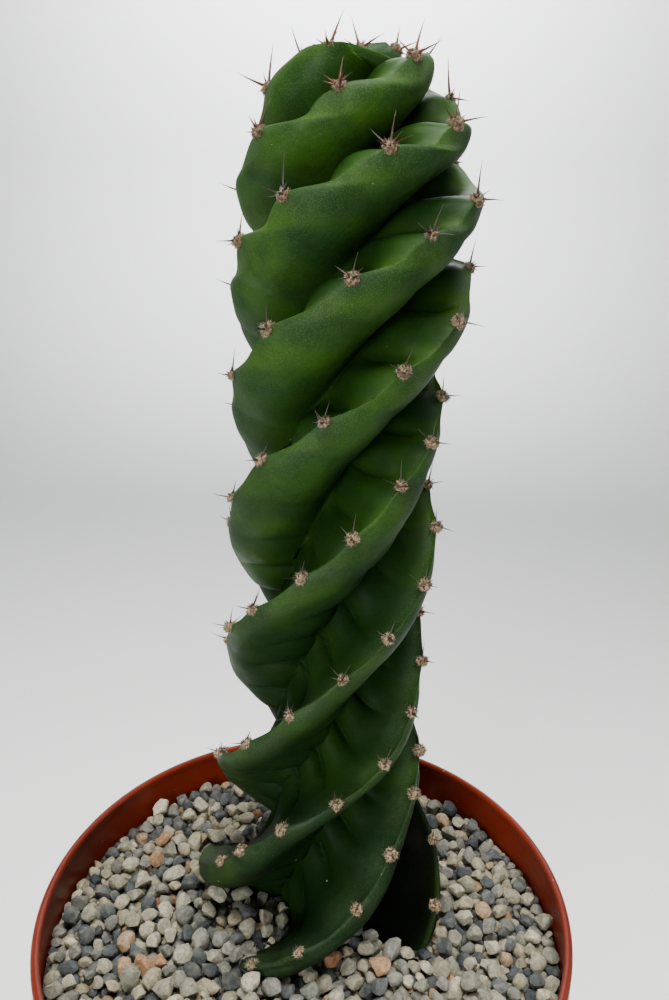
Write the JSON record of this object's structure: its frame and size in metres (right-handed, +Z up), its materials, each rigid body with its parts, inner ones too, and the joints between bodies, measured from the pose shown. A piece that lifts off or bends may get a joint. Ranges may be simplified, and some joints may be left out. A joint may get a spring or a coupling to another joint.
{
  "type": "potted spiral cactus",
  "caption": "Columnar cactus whose scalloped, spined ribs wind up the stem in a spiral, standing in a round plastic nursery pot dressed with grit.",
  "frame": {"origin": "centre of the pot's floor, on the surface that the pot stands on", "axes": "+Z up the stem; -Y is the side that the picture shows"},
  "size_m": [0.155, 0.155, 0.3516],
  "materials": {
    "pot": "satin",
    "soil": "matte",
    "gravel": "matte",
    "stem": "satin"
  },
  "bodies": {
    "root": {"pot": "pot", "soil": "soil", "gravel": "gravel", "stem": "stem"}
  },
  "joints": []
}
